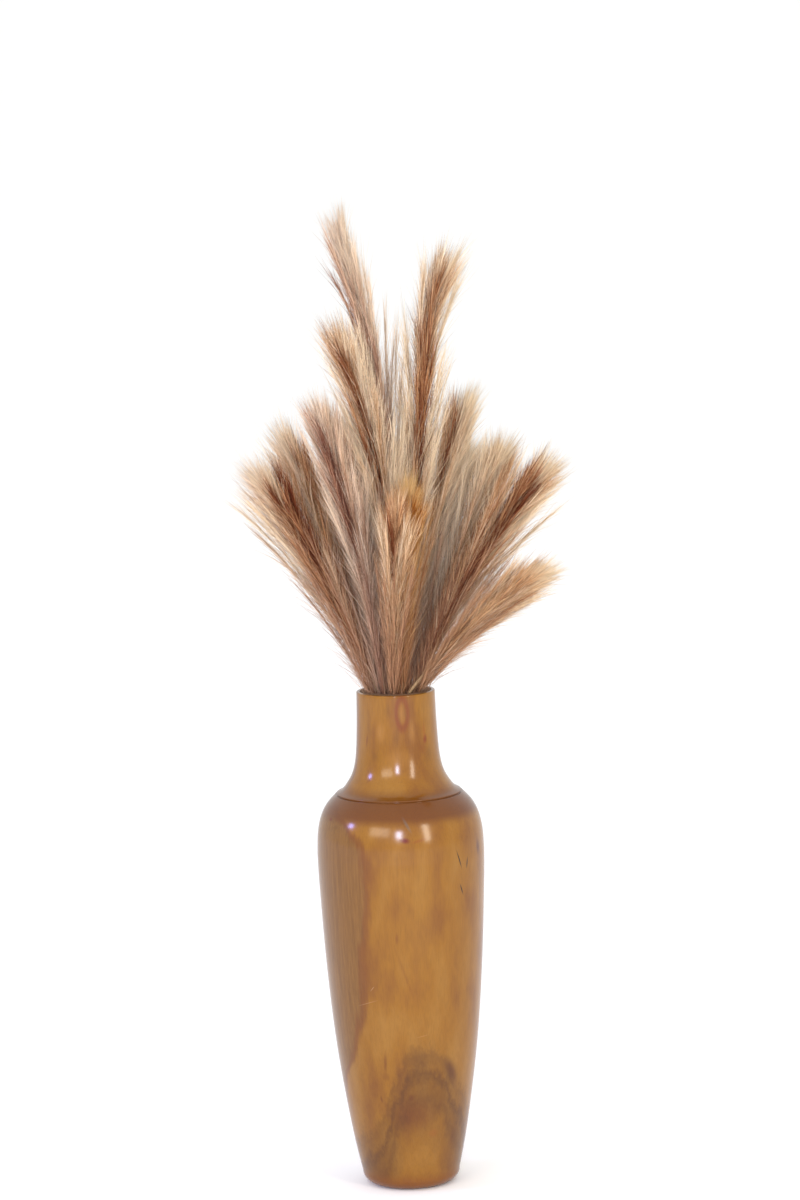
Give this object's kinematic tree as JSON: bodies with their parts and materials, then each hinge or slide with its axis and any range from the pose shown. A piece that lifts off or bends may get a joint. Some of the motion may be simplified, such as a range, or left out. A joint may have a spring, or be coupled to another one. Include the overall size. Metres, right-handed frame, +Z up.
{
  "type": "vase of pampas grass",
  "caption": "Turned wooden vase with a flared neck and a domed shoulder, holding a loose bunch of dried pampas grass plumes.",
  "frame": {"origin": "centre of the vase's foot, on the surface it stands on", "axes": "+Z up along the vase's axis, -Y to the front as pictured, +X to the right seen from the front"},
  "size_m": [0.3153, 0.2387, 0.8954],
  "materials": {
    "vase_wood": "gloss",
    "chestnut_hair": "matte",
    "umber_hair": "matte",
    "mauve_hair": "matte",
    "sand_hair": "matte",
    "amber_hair": "matte",
    "cream_hair": "matte"
  },
  "bodies": {
    "root": {"vase": "vase_wood", "plume_low_front": "sand_hair", "plume_amber_front": "amber_hair", "plume_low_right": "sand_hair", "plume_far_right": "chestnut_hair", "plume_inner_right": "umber_hair", "plume_high_right": "umber_hair", "plume_pale_right": "cream_hair", "plume_back_right": "sand_hair", "plume_back_left": "umber_hair", "plume_behind_left": "sand_hair", "plume_upper_left": "sand_hair", "plume_far_left": "chestnut_hair", "plume_mauve_left": "mauve_hair", "plume_high_left": "umber_hair", "plume_tall_right": "chestnut_hair", "plume_tall_left": "mauve_hair"}
  },
  "joints": []
}
